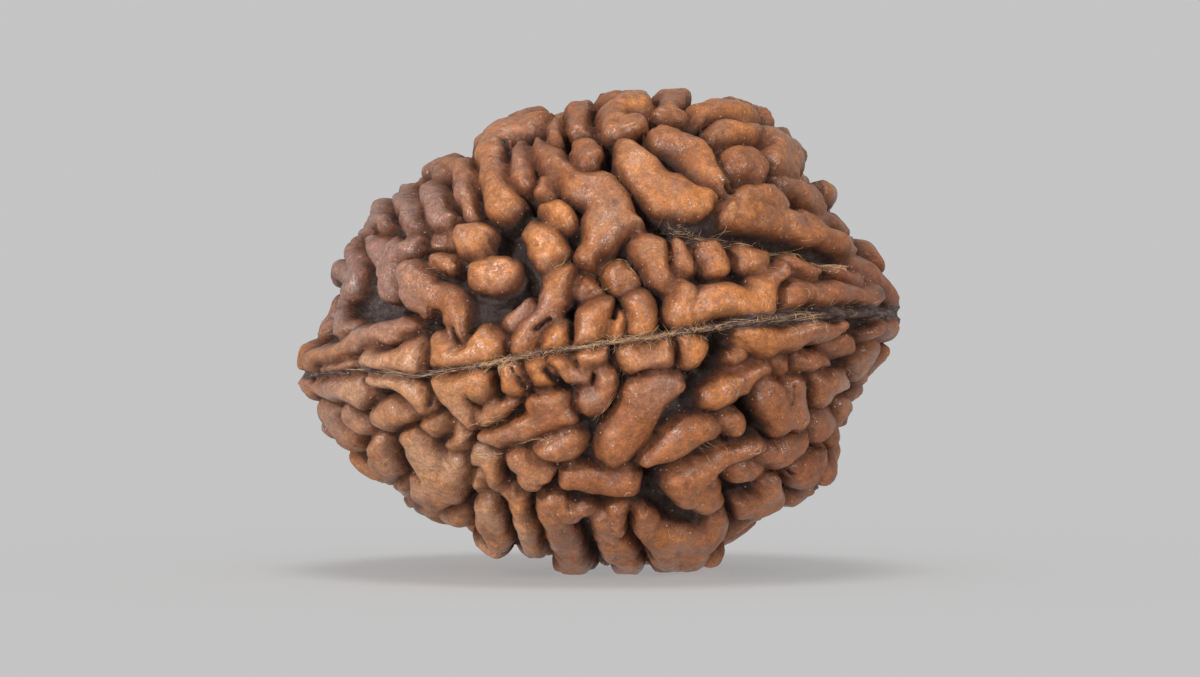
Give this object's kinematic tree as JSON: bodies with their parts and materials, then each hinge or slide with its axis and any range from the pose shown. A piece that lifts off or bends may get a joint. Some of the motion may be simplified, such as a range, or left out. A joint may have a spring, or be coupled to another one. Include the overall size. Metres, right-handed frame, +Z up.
{
  "type": "rudraksha seed",
  "caption": "Hard stone of a rudraksha fruit: a pointed oval bead of deep rounded folds with a fibrous seam from tip to tip.",
  "frame": {"origin": "on the table, under the middle of the seed's bounding box", "axes": "+Z up, X along the seed from its pointed tip (-X) to its blunt tip (+X), the seam shown in the picture towards -Y"},
  "size_m": [0.022, 0.0204, 0.0176],
  "materials": {
    "seed_stone": "waxy orange-brown stone with dark dusty grooves and straw-coloured fibres along the seam"
  },
  "bodies": {
    "root": {"rudraksha_stone": "seed_stone"}
  },
  "joints": []
}
